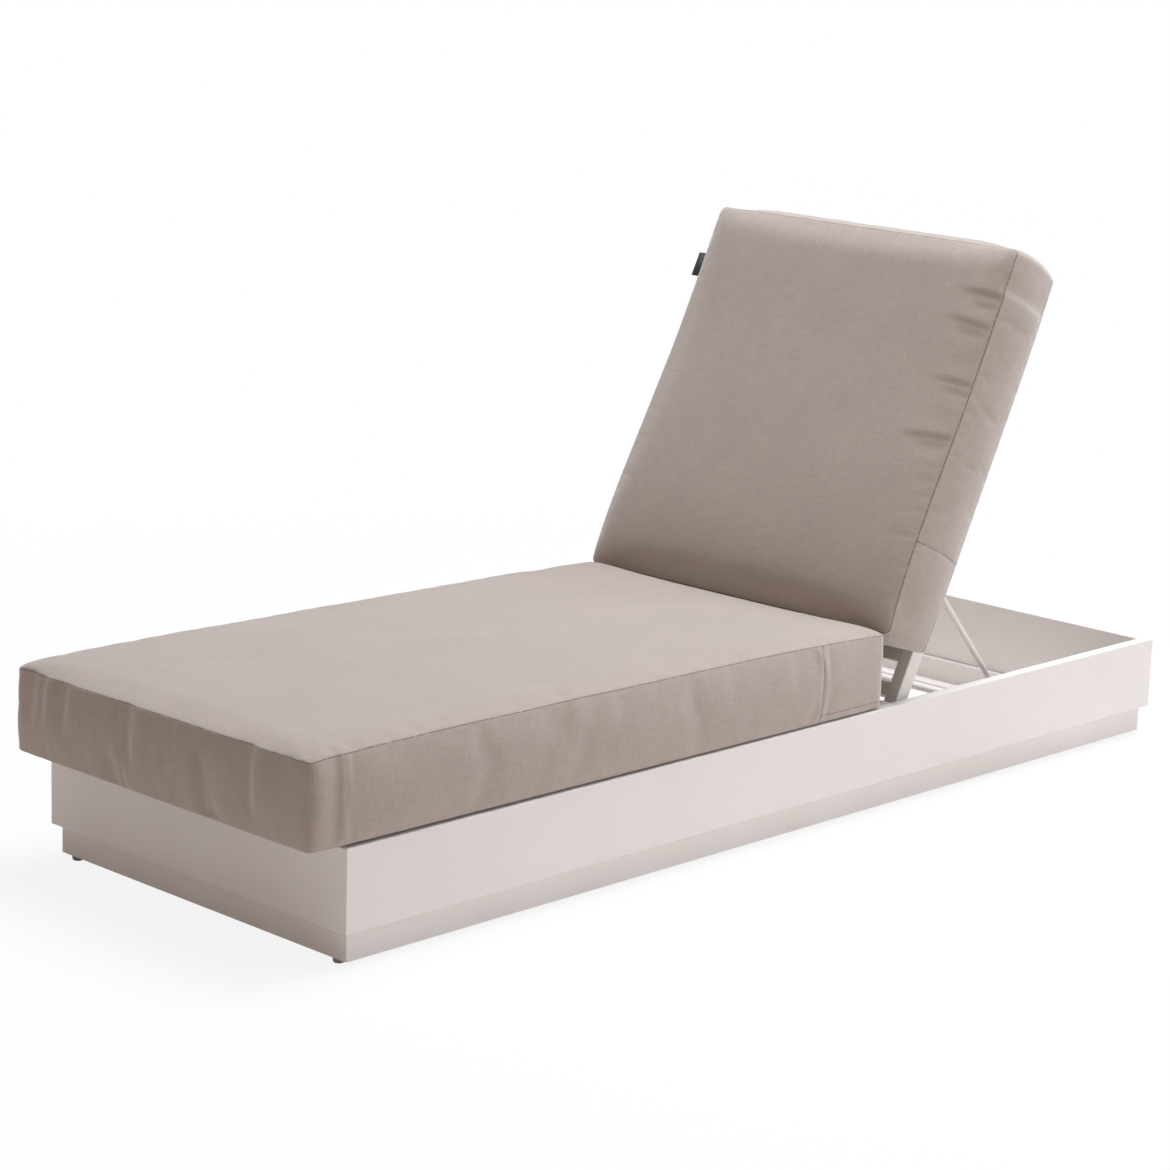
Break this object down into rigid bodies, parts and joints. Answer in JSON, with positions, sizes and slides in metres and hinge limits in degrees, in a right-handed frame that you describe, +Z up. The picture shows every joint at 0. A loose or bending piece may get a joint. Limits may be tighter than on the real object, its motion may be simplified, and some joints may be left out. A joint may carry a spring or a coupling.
{
  "type": "sun lounger",
  "caption": "Low sun lounger: white box base, slatted seat deck, reclining slatted back on a wire prop, and thick boxed cushions on seat and back.",
  "frame": {"origin": "on the floor, below the middle of the lounger's whole length and width", "axes": "+X towards the head end, +Z up, -Y the sitter's left side"},
  "size_m": [2.07, 0.7107, 0.9482],
  "materials": {
    "powder_coat": "satin off-white powder coat on aluminium",
    "stainless": "plain stainless steel",
    "glide_plastic": "grey moulded polyethylene",
    "cap_plastic": "off-white moulded plastic",
    "bush_plastic": "natural nylon",
    "touch_tape": "hook and loop tape",
    "cushion_cloth": "plain woven outdoor canvas, taupe",
    "tab_cloth": "black woven ribbon, blank"
  },
  "bodies": {
    "base": {"bracket_screws": "stainless", "deck_end_slat": "powder_coat", "deck_ledger_left": "powder_coat", "deck_ledger_right": "powder_coat", "foot_panel": "powder_coat", "glide_foot_left": "glide_plastic", "glide_foot_right": "glide_plastic", "glide_head_left": "glide_plastic", "glide_head_right": "glide_plastic", "head_panel": "powder_coat", "hinge_bolt_left": "stainless", "hinge_bolt_right": "stainless", "hinge_bracket_left": "powder_coat", "hinge_bracket_right": "powder_coat", "hinge_washers": "bush_plastic", "notch_rail_left": "powder_coat", "notch_rail_right": "powder_coat", "notch_rail_screws": "stainless", "plinth_foot": "powder_coat", "plinth_head": "powder_coat", "plinth_left": "powder_coat", "plinth_right": "powder_coat", "seat_cushion": "cushion_cloth", "seat_grip_strips": "touch_tape", "seat_slat_1": "powder_coat", "seat_slat_2": "powder_coat", "seat_slat_3": "powder_coat", "seat_slat_4": "powder_coat", "seat_slat_5": "powder_coat", "seat_slat_6": "powder_coat", "seat_slat_7": "powder_coat", "side_panel_left": "powder_coat", "side_panel_right": "powder_coat", "slat_screws": "stainless"},
    "back": {"back_bottom_bar": "powder_coat", "back_cushion": "cushion_cloth", "back_grip_strips": "touch_tape", "back_rail_left": "powder_coat", "back_rail_right": "powder_coat", "back_slat_1": "powder_coat", "back_slat_2": "powder_coat", "back_slat_3": "powder_coat", "back_slat_4": "powder_coat", "back_slat_5": "powder_coat", "back_top_bar": "powder_coat", "cushion_tab": "tab_cloth", "hinge_bush_left": "bush_plastic", "hinge_bush_right": "bush_plastic", "prop_bolt_left": "stainless", "prop_bolt_right": "stainless", "prop_spacers": "bush_plastic", "rail_cap_left": "cap_plastic", "rail_cap_right": "cap_plastic", "rail_nose_left": "powder_coat", "rail_nose_right": "powder_coat"},
    "prop": {"prop_leg_left": "powder_coat", "prop_leg_right": "powder_coat", "prop_foot_bar": "powder_coat"}
  },
  "joints": [
    {"name": "back_recline", "type": "hinge", "parent": "base", "child": "back", "pos_m": [0.318, 0, 0.169], "axis": [0, 1, 0], "range_deg": [0, 63.5]},
    {"name": "prop_swing", "type": "hinge", "parent": "back", "child": "prop", "pos_m": [0.42733, 0, 0.37708], "axis": [0, 1, 0], "range_deg": [-109.5, 0.5]}
  ],
  "couplings": [
    {"joint": "prop_swing", "follows": "back_recline", "ratio": -1.7165}
  ]
}
